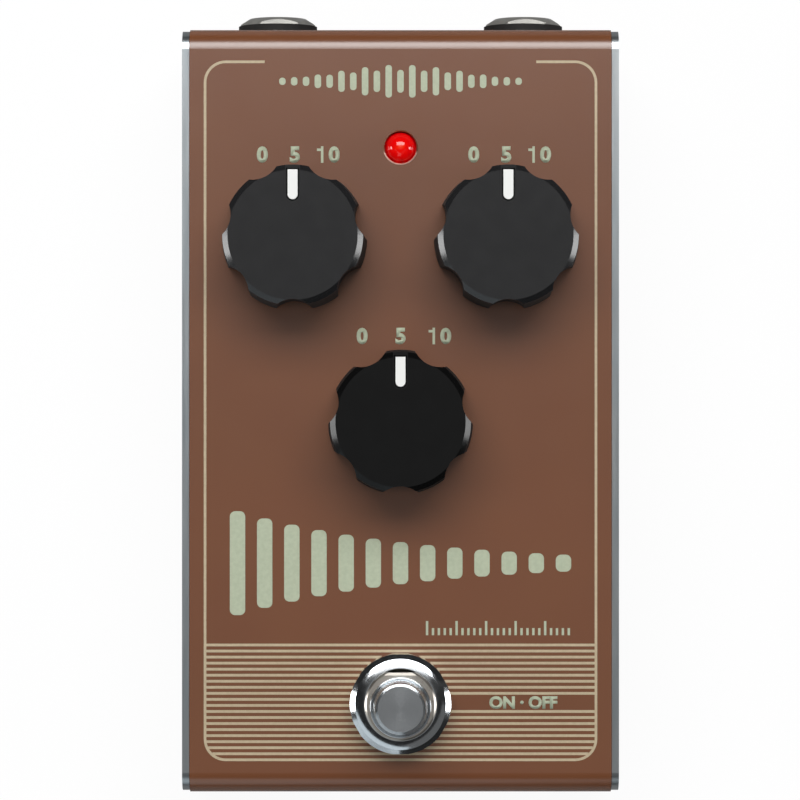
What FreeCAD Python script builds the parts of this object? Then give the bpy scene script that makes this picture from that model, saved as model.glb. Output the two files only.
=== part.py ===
import FreeCAD, Part
import math
import os

Vector = FreeCAD.Vector

# An analog delay pedal. All sizes are in millimetres.
# X is the width, Y the depth with the jacks at the rear (+Y), Z is up from the feet.

# Folded case: a painted cover that wraps rear, face and front, in a bare tray with two side plates
case_width = 74.0
case_length = 129.6
sheet = 1.2
bend_radius = 3.5
flange_bend_radius = 2.2
flange_depth = 13.0
cover_side_gap = 0.05
plate_setback = 0.3
tray_bend_radius = 2.0
hole_clearance = 0.1
thread_clearance = 0.05
moulding_radius = 0.8
same_level = 0.01
past_surface = 1.0

# Feet, base screws and tapped inserts
foot_height = 2.5
foot_radius = 5.5
foot_bottom_radius = 5.2
foot_edge_radius = 0.6
foot_from_side = 8.5
foot_from_end = 19.0
screw_from_side = 8.5
screw_from_end = 8.0
screw_radius = 1.45
screw_length = 6.0
screw_head_radius = 2.8
screw_head_edge_radius = 1.3
screw_head_height = 1.7
screw_recess_length = 3.4
screw_recess_width = 0.8
screw_recess_depth = 1.0
insert_radius = 2.8
insert_height = 2.0

# Upright stack between the base and the face
pad_thickness = 1.5
battery_height = 17.5
battery_headroom = 2.7
board_thickness = 1.6
pot_body_height = 6.8

# Places on the face, from the case's ends
knob_pair_spacing = 35.8
knob_pair_from_rear = 35.6
single_knob_from_pair = 31.1
led_from_rear = 20.2
footswitch_from_front = 15.4

# Knob: seven lobes, a bevel round a flat disc, a hollow skirt and a ribbed hub
knob_lobes = 7
knob_height = 12.8
knob_face_gap = 0.6
knob_disc_radius = 10.8
knob_bevel_width = 0.9
knob_bevel_height = 0.7
knob_base_radius = 12.25
scallop_radius = 4.5
scallop_valley_radius = 10.65
knob_wall = 1.6
knob_top_thickness = 2.4
knob_hub_radius = 4.8
knob_hub_lift = 4.4
knob_rib_thickness = 1.0
knob_bore_clearance = 0.03
knob_bore_spare = 0.2
pointer_width = 1.65
pointer_length = 4.95
pointer_past_disc = 0.05
pointer_depth = 0.9
pointer_gap = 0.25

# Potentiometer
shaft_radius = 3.0
shaft_clearance = 0.05
shaft_end_bevel = 0.4
shaft_below_knob_top = 3.0
shaft_slot_width = 1.0
shaft_slot_depth = 6.0
rotor_radius = 3.9
rotor_height = 2.2
rotor_lift = 0.4
pot_body_width = 9.8
pot_body_length = 11.6
pot_cavity_radius = 4.3
pot_roof = 1.3
pot_bushing_radius = 3.5
pot_bushing_height = 3.3
pot_washer_radius = 5.8
pot_washer_thickness = 0.5
pot_nut_across_flats = 10.0
pot_nut_height = 2.0
pot_nut_chamfer = 0.6
wafer_thickness = 1.2
pot_pins = 3
pot_pin_pitch = 2.5
pot_pin_from_edge = 1.5
pot_pin_radius = 0.4
pin_below_board = 1.4

# Status light
led_radius = 2.55
led_flange_radius = 2.95
led_flange_height = 1.0
led_above_face = 1.7
led_hole_radius = 2.75
led_leg_spacing = 2.54
led_leg_radius = 0.25
led_spacer_radius = 3.0
led_spacer_height = 0.9

# Footswitch
plunger_radius = 4.3
plunger_clearance = 0.06
plunger_above_face = 15.0
plunger_face_radius = 3.8
plunger_edge_width = 0.38
plunger_edge_drop = 0.12
plunger_cap_radius = 4.8
plunger_taper_length = 3.9
plunger_flange_radius = 6.3
plunger_flange_height = 1.6
plunger_rest_gap = 0.2
switch_bushing_radius = 6.0
switch_bushing_above_face = 6.2
switch_bushing_chamfer = 0.3
switch_bushing_chamfer_drop = 0.23
switch_bore_chamfer = 0.15
switch_flat_depth = 0.54
switch_flat_slope_width = 0.45
switch_flat_slope = 9.0
switch_frame_thickness = 1.0
switch_frame_gap = 0.05
switch_leg_width = 8.0
switch_leg_length = 9.5
switch_body_side = 17.2
switch_body_height = 14.5
switch_body_wall = 1.5
switch_body_hole_margin = 0.3
lower_nut_across_flats = 14.0
lower_nut_height = 2.0
lower_nut_gap = 0.3
lock_washer_thickness = 0.6
lock_washer_radius = 8.2
lock_washer_teeth = 12
lock_washer_tooth_gap = 1.8
dress_nut_across_flats = 16.8
dress_nut_radius = 8.5
dress_nut_height = 4.9
dress_nut_chamfer_width = 0.85
dress_nut_chamfer_height = 0.62
dress_nut_rim_width = 0.1
dress_nut_dome_radius = 5.15
dress_nut_dome_offset = 5.47
spring_coil_radius = 4.2
spring_wire_radius = 0.4
spring_turns = 5
spring_end_gap = 0.02
lug_pitch = 4.8
lug_width = 1.8
lug_thickness = 0.6
lug_length = 4.2
switch_board_side = 22.0
switch_board_drop = 1.6
switch_board_thickness = 1.2

# Signal jacks
jack_from_side = 15.7
jack_body_width = 16.0
jack_body_height = 15.0
jack_body_length = 28.2
jack_body_wall = 1.6
jack_board_gap = 0.3
jack_bore_radius = 3.25
jack_bushing_radius = 4.5
jack_bushing_inside = 6.0
jack_bushing_seat = 0.02
jack_bushing_chamfer = 0.3
jack_wall_gap = 0.05
jack_washer_thickness = 1.9
jack_washer_radius = 6.8
jack_nut_height = 1.3
jack_nut_across_flats = 11.3
jack_nut_corner_radius = 6.45
jack_nut_face_radius = 4.95
jack_nut_chamfer = 0.95
jack_nut_turn = 3.0
contact_thickness = 0.4
contact_width = 3.0
contact_end_gap = 0.5
tip_contact_length = 5.0
sleeve_contact_length = 8.0

# Direct-current socket
dc_body_width = 9.0
dc_body_height = 11.0
dc_body_length = 13.5
dc_nose_radius = 4.1
dc_nose_setback = 0.2
dc_bore_radius = 3.1
dc_bore_depth = 10.5
dc_pin_radius = 1.05
dc_pin_root_radius = 1.5
dc_pin_length = 8.5
dc_pin_tip = 0.4
dc_pin_seat = 0.02
dc_contact_thickness = 0.4
dc_contact_margin = 1.2
dc_contact_gap = 0.05

# Main board
board_side_gap = 2.2
board_from_rear = 4.6
board_past_single_pot = 18.0
board_corner_radius = 1.5

# Chips on the main board
chip_width = 6.4
chip_height = 3.3
chip_standoff = 0.5
chip_gap = 1.0
chip_row_gap = 3.4
chip_pin_pitch = 2.54
chip_leg_width = 0.6
chip_leg_thickness = 0.3
chip_leg_reach = 0.7
chip_leg_root = 0.4
chip_notch_radius = 0.8
chip_notch_depth = 0.6
small_chip_pin_count = 8
large_chip_pin_count = 16
front_chip_past_pot = 10.4

# Other components on the main board
electrolytic_count = 6
electrolytic_radius = 2.6
electrolytic_height = 9.0
electrolytic_pitch = 7.0
electrolytic_edge = 0.3
electrolytic_crimp = 0.25
electrolytic_crimp_height = 1.9
electrolytic_from_battery = 3.0
electrolytic_from_leads = 3.0
film_rows = 4
film_length = 7.2
film_width = 3.0
film_height = 5.6
film_pitch = 4.6
film_edge_radius = 0.4
film_from_pot = 5.5
resistor_rows = 5
resistor_radius = 1.1
resistor_waist_radius = 0.95
resistor_length = 6.2
resistor_cap_length = 1.4
resistor_cap_slope = 0.4
resistor_pitch = 3.4
resistor_span = 9.6
resistor_lift = 0.1
resistor_from_edge = 2.2
resistor_from_pot = 2.5
wire_radius = 0.3
wire_bend = 1.0
regulator_radius = 2.3
regulator_height = 4.6
regulator_lift = 1.2
regulator_flat = 1.1
regulator_leg_pitch = 1.27
regulator_from_led = 6.7
trimmer_side = 7.0
trimmer_height = 4.4
trimmer_spacing = 14.0
trimmer_gap = 1.4
trimmer_edge_radius = 0.5
trimmer_rotor_radius = 2.4
trimmer_rotor_clearance = 0.05
trimmer_well_depth = 2.4
trimmer_rotor_proud = 0.3
trimmer_slot_length = 3.8
trimmer_slot_width = 0.7
trimmer_slot_depth = 0.9

# Battery
battery_length = 46.4
battery_width = 26.3
battery_edge_radius = 1.5
battery_left_of_centre = 3.8
battery_past_single_pot = 14.3
pad_margin = 2.0
terminal_spacing = 12.9
terminal_height = 2.4
terminal_stud_radius = 2.9
terminal_cup_radius = 4.3
terminal_cup_wall = 0.7
snap_thickness = 2.6
snap_width = 25.0
snap_height = 12.0
lead_radius = 0.65
lead_spacing = 3.2
lead_run = 10.0
lead_bend = 4.0

# Ribbon cable
ribbon_width = 10.2
ribbon_thickness = 0.9
ribbon_bend_radius = 4.0
ribbon_rise = 6.0
ribbon_from_edge = 1.5

# Levels, edges and centres that follow from the sizes above
base_bottom = foot_height
base_top = base_bottom + sheet
battery_bottom = base_top + pad_thickness
board_bottom = battery_bottom + battery_height + battery_headroom
board_top = board_bottom + board_thickness
face_under = board_top + pot_body_height
face_top = face_under + sheet
jack_reach = jack_washer_thickness + jack_nut_height
case_centre_y = -jack_reach / 2
rear = case_centre_y + case_length / 2
front = case_centre_y - case_length / 2
rear_inner = rear - sheet
plate_inner_x = case_width / 2 - sheet
cover_half_width = plate_inner_x - cover_side_gap
tray_inner_radius = tray_bend_radius - sheet
knob_bottom = face_top + knob_face_gap
knob_top = knob_bottom + knob_height
pair_y = rear - knob_pair_from_rear
single_y = pair_y - single_knob_from_pair
led_y = rear - led_from_rear
switch_y = front + footswitch_from_front
pot_half_length = pot_body_length / 2
jack_axis_z = board_bottom - jack_board_gap - jack_body_height / 2
jack_back = rear_inner - jack_wall_gap - jack_body_length
board_front = single_y - board_past_single_pot
board_rear = rear - board_from_rear
board_half_width = plate_inner_x - board_side_gap
pin_end = board_bottom - pin_below_board
pot_centres = {
    "time": (-knob_pair_spacing / 2, pair_y),
    "mix": (knob_pair_spacing / 2, pair_y),
    "repeats": (0.0, single_y),
}
jack_centres = {"output": jack_from_side - case_width / 2, "input": case_width / 2 - jack_from_side}
switch_frame_top = face_under - lock_washer_thickness - lower_nut_gap - lower_nut_height
switch_frame_bottom = switch_frame_top - switch_frame_thickness
switch_body_top = switch_frame_bottom - switch_frame_gap
switch_body_bottom = switch_body_top - switch_body_height
switch_cavity_top = switch_body_top - switch_body_wall
switch_cavity_bottom = switch_body_bottom + switch_body_wall
plunger_flange_top = switch_cavity_top - plunger_rest_gap
plunger_flange_bottom = plunger_flange_top - plunger_flange_height
switch_board_top = switch_body_bottom - switch_board_drop
switch_board_bottom = switch_board_top - switch_board_thickness
dc_front = rear - dc_nose_setback
dc_bore_end = dc_front - dc_bore_depth
dc_back = rear_inner - jack_wall_gap - dc_body_length
battery_left = -battery_left_of_centre - battery_length / 2
battery_right = battery_left + battery_length
battery_rear = single_y + battery_past_single_pot
battery_front = battery_rear - battery_width
battery_middle_y = (battery_front + battery_rear) / 2
battery_top = battery_bottom + battery_height
terminal_z = (battery_bottom + battery_top) / 2
snap_left = battery_right + terminal_height
snap_right = snap_left + snap_thickness
lead_x = (snap_left + snap_right) / 2
electrolytic_y = battery_rear + electrolytic_from_battery + electrolytic_radius
trimmer_y = electrolytic_y + electrolytic_radius + trimmer_gap + trimmer_side / 2
chip_row_spacing = chip_width + chip_row_gap
along_x = Vector(1, 0, 0)
along_y = Vector(0, 1, 0)
along_z = Vector(0, 0, 1)


def block(x0, x1, y0, y1, z0, z1):
    return Part.makeBox(x1 - x0, y1 - y0, z1 - z0, Vector(x0, y0, z0))


def square(x, y, side_x, side_y, z0, z1):
    return block(x - side_x / 2, x + side_x / 2, y - side_y / 2, y + side_y / 2, z0, z1)


def rod(x, y, z0, z1, radius):
    return Part.makeCylinder(radius, z1 - z0, Vector(x, y, z0), along_z)


def rod_y(x, z, y0, y1, radius):
    return Part.makeCylinder(radius, y1 - y0, Vector(x, y0, z), along_y)


def rod_x(y, z, x0, x1, radius):
    return Part.makeCylinder(radius, x1 - x0, Vector(x0, y, z), along_x)


def drilled(shape, x, y, z0, z1, radius):
    # a hole up through the shape, a little longer than the wall at each end
    return shape.cut(rod(x, y, z0 - past_surface, z1 + past_surface, radius))


def drilled_y(shape, x, z, y0, y1, radius):
    return shape.cut(rod_y(x, z, y0 - past_surface, y1 + past_surface, radius))


def turned(outline, x, y):
    # outline holds (radius, height), or (middle radius, middle height, radius, height) for an arc
    last = Vector(x + outline[0][0], y, outline[0][1])
    edges = []
    for point in outline[1:] + outline[:1]:
        end = Vector(x + point[-2], y, point[-1])
        if len(point) == 4:
            middle = Vector(x + point[0], y, point[1])
            edges.append(Part.Arc(last, middle, end).toShape())
        else:
            edges.append(Part.makeLine(last, end))
        last = end
    face = Part.Face(Part.Wire(edges))
    return face.revolve(Vector(x, y, 0), along_z, 360)


def lower_round(radius, low, edge_radius):
    # the rounded lower edge of a turned piece, as two entries of its outline
    inset = edge_radius * (1 - math.sqrt(0.5))
    return [(radius - edge_radius, low), (radius - inset, low + inset, radius, low + edge_radius)]


def hex_prism(x, y, z0, z1, across_flats, turn):
    corner = across_flats / 2 / math.cos(math.pi / 6)
    points = []
    for step in range(7):
        angle = math.radians(turn + 60 * step)
        points.append(Vector(x + corner * math.cos(angle), y + corner * math.sin(angle), z0))
    return Part.Face(Part.makePolygon(points)).extrude(Vector(0, 0, z1 - z0))


def edges_along(shape, direction, accept):
    # the straight edges that run along the direction and whose middle passes the test
    chosen = []
    for edge in shape.Edges:
        if len(edge.Vertexes) == 2:
            run = edge.Vertexes[1].Point - edge.Vertexes[0].Point
            if run.cross(direction).Length < same_level and accept(edge.CenterOfMass):
                chosen.append(edge)
    return chosen


def rounded(shape, radius, direction, accept=lambda middle: True):
    return shape.makeFillet(radius, edges_along(shape, direction, accept))


def wire_along(points, radius, reach):
    # straight runs joined by arcs that start a given reach from each corner
    edges = []
    start = points[0]
    for before, corner, after in zip(points, points[1:], points[2:]):
        back = before - corner
        ahead = after - corner
        back.normalize()
        ahead.normalize()
        first = corner + back * reach
        last = corner + ahead * reach
        bend = reach * math.tan(back.getAngle(ahead) / 2)
        inward = back + ahead
        inward.normalize()
        middle = corner + inward * (math.hypot(reach, bend) - bend)
        edges.append(Part.makeLine(start, first))
        edges.append(Part.Arc(first, middle, last).toShape())
        start = last
    edges.append(Part.makeLine(start, points[-1]))
    profile = Part.Wire(Part.makeCircle(radius, points[0], points[1] - points[0]))
    return Part.Wire(edges).makePipeShell([profile], True, False)


# Case

def corner_places(from_side, from_end):
    x = case_width / 2 - from_side
    return [(side * x, y) for side in (-1, 1) for y in (front + from_end, rear - from_end)]


screw_places = corner_places(screw_from_side, screw_from_end)
foot_places = corner_places(foot_from_side, foot_from_end)


def top_cover():
    half = cover_half_width
    beyond = half + past_surface
    flange_top = base_top + sheet
    outer = block(-half, half, front, rear, base_top, face_top)
    outer = rounded(outer, bend_radius, along_x, lambda middle: middle.z > face_under)
    outer = rounded(outer, flange_bend_radius, along_x, lambda middle: middle.z < flange_top)
    inner = block(-beyond, beyond, front + sheet, rear_inner, flange_top, face_under)
    inner = rounded(inner, bend_radius - sheet, along_x, lambda middle: middle.z > board_top)
    inner = rounded(inner, flange_bend_radius - sheet, along_x, lambda middle: middle.z < board_bottom)
    window = block(-beyond, beyond, front + flange_depth, rear - flange_depth,
                   base_bottom, flange_top + past_surface)
    cover = outer.cut(inner).cut(window)
    # relief where the flanges meet the rounded inner corners of the tray
    relief_x = plate_inner_x - tray_inner_radius - cover_side_gap
    relief_z = base_top + tray_inner_radius + cover_side_gap
    for x0, x1 in ((-beyond, -relief_x), (relief_x, beyond)):
        cover = cover.cut(block(x0, x1, front - past_surface, rear + past_surface, base_bottom, relief_z))
    for x, y in pot_centres.values():
        cover = drilled(cover, x, y, face_under, face_top, pot_bushing_radius + hole_clearance)
    cover = drilled(cover, 0, led_y, face_under, face_top, led_hole_radius)
    cover = drilled(cover, 0, switch_y, face_under, face_top, switch_bushing_radius + hole_clearance)
    for x in jack_centres.values():
        cover = drilled_y(cover, x, jack_axis_z, rear_inner, rear, jack_bushing_radius + hole_clearance)
    cover = drilled_y(cover, 0, jack_axis_z, rear_inner, rear, dc_nose_radius + hole_clearance)
    for x, y in screw_places:
        cover = drilled(cover, x, y, base_top, flange_top, screw_radius + hole_clearance)
    return cover


def base_tray():
    half = case_width / 2
    y0 = front + plate_setback
    y1 = rear - plate_setback
    outer = block(-half, half, y0, y1, base_bottom, face_top)
    outer = rounded(outer, tray_bend_radius, along_y, lambda middle: middle.z < base_top)
    inner = block(-plate_inner_x, plate_inner_x, y0 - past_surface, y1 + past_surface,
                  base_top, face_top + past_surface)
    inner = rounded(inner, tray_inner_radius, along_y, lambda middle: middle.z < board_bottom)
    tray = outer.cut(inner)
    tray = rounded(tray, bend_radius - plate_setback, along_x, lambda middle: middle.z > face_under)
    for x, y in screw_places:
        tray = drilled(tray, x, y, base_bottom, base_top, screw_radius + hole_clearance)
    return tray


def base_screws():
    screws = []
    low = base_bottom - screw_head_height
    recess_top = low + screw_recess_depth
    for x, y in screw_places:
        screw = turned([(0, low)] + lower_round(screw_head_radius, low, screw_head_edge_radius)
                       + [(screw_head_radius, base_bottom), (screw_radius, base_bottom),
                          (screw_radius, base_bottom + screw_length), (0, base_bottom + screw_length)], x, y)
        across = square(x, y, screw_recess_length, screw_recess_width, low - past_surface, recess_top)
        along = square(x, y, screw_recess_width, screw_recess_length, low - past_surface, recess_top)
        screws.append(screw.cut(across.fuse(along)))
    return Part.makeCompound(screws)


def clinch_nuts():
    low = base_top + sheet
    high = low + insert_height
    nuts = []
    for x, y in screw_places:
        nut = rod(x, y, low, high, insert_radius)
        nuts.append(drilled(nut, x, y, low, high, screw_radius + thread_clearance))
    return Part.makeCompound(nuts)


def rubber_feet():
    feet = []
    for x, y in foot_places:
        feet.append(turned([(0, 0)] + lower_round(foot_bottom_radius, 0, foot_edge_radius)
                           + [(foot_radius, base_bottom), (0, base_bottom)], x, y))
    return Part.makeCompound(feet)


# Knobs and potentiometers

def knob_envelope(x, y):
    shoulder_radius = knob_disc_radius + knob_bevel_width
    return turned([(0, knob_bottom), (knob_base_radius, knob_bottom),
                   (shoulder_radius, knob_top - knob_bevel_height),
                   (knob_disc_radius, knob_top), (0, knob_top)], x, y)


def pointer_slot(x, y, margin):
    # square at the rim and round at its inner end
    half = pointer_width / 2 + margin
    outer_end = y + knob_disc_radius + pointer_past_disc
    round_y = outer_end - pointer_length + pointer_width / 2
    low = knob_top - pointer_depth
    high = knob_top + past_surface
    slot = block(x - half, x + half, round_y, outer_end + margin, low, high)
    return slot.fuse(rod(x, round_y, low, high, half))


def knob(x, y):
    body = knob_envelope(x, y)
    for step in range(knob_lobes):
        angle = math.pi / 2 + math.pi * (2 * step + 1) / knob_lobes
        reach = scallop_valley_radius + scallop_radius
        body = drilled(body, x + reach * math.cos(angle), y + reach * math.sin(angle),
                       knob_bottom, knob_top, scallop_radius)
    ceiling = knob_top - knob_top_thickness
    hub_bottom = knob_bottom + knob_hub_lift
    inside = scallop_valley_radius - knob_wall
    hub = rod(x, y, hub_bottom, ceiling, knob_hub_radius)
    hub = hub.fuse(square(x, y, 2 * scallop_valley_radius, knob_rib_thickness, hub_bottom, ceiling))
    hub = hub.fuse(square(x, y, knob_rib_thickness, 2 * scallop_valley_radius, hub_bottom, ceiling))
    body = body.cut(rod(x, y, knob_bottom - past_surface, ceiling, inside).cut(hub))
    bore_top = knob_top - shaft_below_knob_top + knob_bore_spare
    body = body.cut(rod(x, y, knob_bottom - past_surface, bore_top, shaft_radius + knob_bore_clearance))
    return body.cut(pointer_slot(x, y, pointer_gap))


def pointer(x, y):
    return pointer_slot(x, y, 0).common(knob_envelope(x, y))


def pot_shaft(x, y):
    top = knob_top - shaft_below_knob_top
    rotor_bottom = board_top + wafer_thickness + rotor_lift
    rotor_top = rotor_bottom + rotor_height
    shaft = turned([(0, rotor_bottom), (rotor_radius, rotor_bottom), (rotor_radius, rotor_top),
                    (shaft_radius, rotor_top), (shaft_radius, top - shaft_end_bevel),
                    (shaft_radius - shaft_end_bevel, top), (0, top)], x, y)
    slot_length = 2 * shaft_radius + past_surface
    return shaft.cut(square(x, y, slot_length, shaft_slot_width, top - shaft_slot_depth, top + past_surface))


def pot_body(x, y):
    low = board_top + wafer_thickness
    high = face_top + pot_bushing_height
    body = rounded(square(x, y, pot_body_width, pot_body_length, low, face_under), moulding_radius, along_z)
    body = body.fuse(rod(x, y, face_under, high, pot_bushing_radius))
    body = body.cut(rod(x, y, low - past_surface, face_under - pot_roof, pot_cavity_radius))
    return drilled(body, x, y, low, high, shaft_radius + shaft_clearance)


def pot_pin_places():
    places = []
    for x, y in pot_centres.values():
        for step in range(pot_pins):
            pin_x = x + (step - (pot_pins - 1) / 2) * pot_pin_pitch
            places.append((pin_x, y - pot_half_length + pot_pin_from_edge))
    return places


def pot_wafers():
    pins = [rod(x, y, pin_end, board_top, pot_pin_radius) for x, y in pot_pin_places()]
    wafers = []
    for step, (x, y) in enumerate(pot_centres.values()):
        wafer = square(x, y, pot_body_width, pot_body_length, board_top, board_top + wafer_thickness)
        wafers.append(wafer.multiFuse(pins[step * pot_pins:(step + 1) * pot_pins]))
    return Part.makeCompound(wafers)


def pot_washers():
    high = face_top + pot_washer_thickness
    washers = []
    for x, y in pot_centres.values():
        washer = rod(x, y, face_top, high, pot_washer_radius)
        washers.append(drilled(washer, x, y, face_top, high, pot_bushing_radius + hole_clearance))
    return Part.makeCompound(washers)


def pot_nuts():
    low = face_top + pot_washer_thickness
    high = low + pot_nut_height
    face_radius = pot_nut_across_flats / 2
    nuts = []
    for x, y in pot_centres.values():
        outer = face_radius + past_surface
        crown = turned([(0, low), (outer, low), (outer, high - pot_nut_chamfer),
                        (face_radius, high), (0, high)], x, y)
        nut = crown.common(hex_prism(x, y, low, high, pot_nut_across_flats, 0))
        nuts.append(drilled(nut, x, y, low, high, pot_bushing_radius + thread_clearance))
    return Part.makeCompound(nuts)


# Status light

def led_leg_places():
    return [(side * led_leg_spacing / 2, led_y) for side in (-1, 1)]


def status_led():
    flange_bottom = board_top + led_spacer_height
    flange_top = flange_bottom + led_flange_height
    dome_top = face_top + led_above_face
    shoulder = dome_top - led_radius
    diagonal = led_radius * math.sqrt(0.5)
    lens = turned([(0, flange_bottom), (led_flange_radius, flange_bottom), (led_flange_radius, flange_top),
                   (led_radius, flange_top), (led_radius, shoulder),
                   (diagonal, shoulder + diagonal, 0, dome_top)], 0, led_y)
    return lens.multiFuse([rod(x, y, pin_end, flange_bottom, led_leg_radius) for x, y in led_leg_places()])


def led_spacer():
    high = board_top + led_spacer_height
    spacer = rod(0, led_y, board_top, high, led_spacer_radius)
    for x, y in led_leg_places():
        spacer = drilled(spacer, x, y, board_top, high, led_leg_radius + hole_clearance)
    return spacer


# Footswitch

def footswitch_body():
    body = square(0, switch_y, switch_body_side, switch_body_side, switch_body_bottom, switch_body_top)
    body = rounded(body, moulding_radius, along_z)
    inside = switch_body_side - 2 * switch_body_wall
    body = body.cut(square(0, switch_y, inside, inside, switch_cavity_bottom, switch_cavity_top))
    return drilled(body, 0, switch_y, switch_cavity_top, switch_body_top,
                   plunger_radius + switch_body_hole_margin)


def footswitch_bushing():
    top = face_top + switch_bushing_above_face
    # a plate with the threaded bushing on it and two legs that hold the moulded body
    inside = switch_body_side / 2 + switch_frame_gap
    outside = inside + switch_frame_thickness
    frame = square(0, switch_y, 2 * outside, switch_body_side, switch_frame_bottom, switch_frame_top)
    frame = rounded(frame, moulding_radius, along_z)
    for x0, x1 in ((-outside, -inside), (inside, outside)):
        frame = frame.fuse(block(x0, x1, switch_y - switch_leg_width / 2, switch_y + switch_leg_width / 2,
                                 switch_frame_bottom - switch_leg_length, switch_frame_bottom))
    thread = turned([(0, switch_frame_bottom), (switch_bushing_radius, switch_frame_bottom),
                     (switch_bushing_radius, top - switch_bushing_chamfer_drop),
                     (switch_bushing_radius - switch_bushing_chamfer, top), (0, top)], 0, switch_y)
    flat_y = switch_y + switch_bushing_radius - switch_flat_depth
    wide = 2 * switch_bushing_radius
    thread = thread.cut(block(-wide, wide, flat_y, flat_y + wide, switch_frame_top, top + past_surface))
    # the end slopes down a little towards the flat
    slope = block(-wide, wide, 0, wide, 0, wide)
    slope.rotate(Vector(0, 0, 0), along_x, -switch_flat_slope)
    slope.translate(Vector(0, flat_y - switch_flat_slope_width, top))
    thread = thread.cut(slope)
    bore = plunger_radius + plunger_clearance
    bushing = drilled(frame.fuse(thread), 0, switch_y, switch_frame_bottom, top, bore)
    return bushing.cut(Part.makeCone(bore, bore + switch_bore_chamfer, switch_bore_chamfer,
                                     Vector(0, switch_y, top - switch_bore_chamfer), along_z))


def footswitch_plunger():
    # a stem with a slightly tapered cap, whose edge slopes gently up to a flat end
    top = face_top + plunger_above_face
    edge_level = top - plunger_edge_drop
    return turned([(0, plunger_flange_bottom), (plunger_flange_radius, plunger_flange_bottom),
                   (plunger_flange_radius, plunger_flange_top), (plunger_radius, plunger_flange_top),
                   (plunger_radius, edge_level - plunger_taper_length),
                   (plunger_cap_radius, edge_level - plunger_taper_length),
                   (plunger_face_radius + plunger_edge_width, edge_level), (plunger_face_radius, top),
                   (0, top)], 0, switch_y)


def footswitch_spring():
    # a helix that stands between the body's floor and the plunger's flange
    low = switch_cavity_bottom + spring_wire_radius + spring_end_gap
    height = plunger_flange_bottom - spring_wire_radius - spring_end_gap - low
    pitch = height / spring_turns
    helix = Part.makeHelix(pitch, height, spring_coil_radius)
    heading = Vector(0, 2 * math.pi * spring_coil_radius, pitch)
    profile = Part.Wire(Part.makeCircle(spring_wire_radius, Vector(spring_coil_radius, 0, 0), heading))
    spring = Part.Wire(helix.Edges).makePipeShell([profile], True, True)
    spring.translate(Vector(0, switch_y, low))
    return spring


def footswitch_lower_nut():
    low = switch_frame_top + lower_nut_gap
    high = low + lower_nut_height
    nut = hex_prism(0, switch_y, low, high, lower_nut_across_flats, 0)
    return drilled(nut, 0, switch_y, low, high, switch_bushing_radius + thread_clearance)


def footswitch_lock_washer():
    low = face_under - lock_washer_thickness
    washer = rod(0, switch_y, low, face_under, lock_washer_radius)
    washer = drilled(washer, 0, switch_y, low, face_under, switch_bushing_radius + hole_clearance)
    for step in range(lock_washer_teeth):
        angle = 2 * math.pi * step / lock_washer_teeth
        notch_x = lock_washer_radius * math.cos(angle)
        notch_y = switch_y + lock_washer_radius * math.sin(angle)
        washer = drilled(washer, notch_x, notch_y, low, face_under, lock_washer_tooth_gap / 2)
    return washer


def dome_rise(radius):
    # height of the dome above the centre of its arc, at a radius from the nut's axis
    return math.sqrt(dress_nut_dome_radius ** 2 - (radius - dress_nut_dome_offset) ** 2)


def footswitch_dress_nut():
    # a hex nut with a chamfer round a domed crown
    high = face_top + dress_nut_height
    bore_radius = switch_bushing_radius + thread_clearance
    rim_radius = bore_radius + dress_nut_rim_width
    dome_edge = dress_nut_radius - dress_nut_chamfer_width
    dome_centre = high - dome_rise(rim_radius)
    dome_middle = (rim_radius + dome_edge) / 2
    edge_level = dome_centre + dome_rise(dome_edge)
    crown = turned([(0, face_top), (dress_nut_radius, face_top),
                    (dress_nut_radius, edge_level - dress_nut_chamfer_height), (dome_edge, edge_level),
                    (dome_middle, dome_centre + dome_rise(dome_middle), rim_radius, high),
                    (0, high)], 0, switch_y)
    nut = crown.common(hex_prism(0, switch_y, face_top, high, dress_nut_across_flats, 0))
    return drilled(nut, 0, switch_y, face_top, high, bore_radius)


def lug_places():
    steps = (-lug_pitch, 0, lug_pitch)
    return [(x, switch_y + y) for x in steps for y in steps]


def footswitch_lugs():
    low = switch_body_bottom - lug_length
    return Part.makeCompound([square(x, y, lug_width, lug_thickness, low, switch_body_bottom)
                              for x, y in lug_places()])


def switch_board():
    board = square(0, switch_y, switch_board_side, switch_board_side, switch_board_bottom, switch_board_top)
    slot_x = lug_width + 2 * hole_clearance
    slot_y = lug_thickness + 2 * hole_clearance
    for x, y in lug_places():
        board = board.cut(square(x, y, slot_x, slot_y, switch_board_bottom - past_surface,
                                 switch_board_top + past_surface))
    return board


def ribbon_cable():
    # a flat cable: up from the switch board, level towards the rear, then up to the main board
    start_y = switch_y + switch_board_side / 2 - ribbon_from_edge
    end_y = board_front + ribbon_from_edge
    level = switch_board_top + ribbon_rise
    half = ribbon_thickness / 2
    wide = ribbon_width
    strip = block(-wide / 2, wide / 2, start_y - half, end_y + half, switch_board_top, board_bottom)
    below = block(-wide, wide, start_y + half, end_y + wide, switch_board_bottom, level - half)
    below = rounded(below, ribbon_bend_radius - half, along_x,
                    lambda middle: middle.z > level - ribbon_thickness and middle.y < end_y)
    above = block(-wide, wide, start_y - wide, end_y - half, level + half, board_top)
    above = rounded(above, ribbon_bend_radius - half, along_x,
                    lambda middle: middle.z < level + ribbon_thickness and middle.y > start_y)
    strip = strip.cut(below).cut(above)
    strip = rounded(strip, ribbon_bend_radius + half, along_x,
                    lambda middle: abs(middle.z - level - half) < same_level and middle.y < start_y)
    return rounded(strip, ribbon_bend_radius + half, along_x,
                   lambda middle: abs(middle.z - level + half) < same_level and middle.y > end_y)


# Signal jacks

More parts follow.
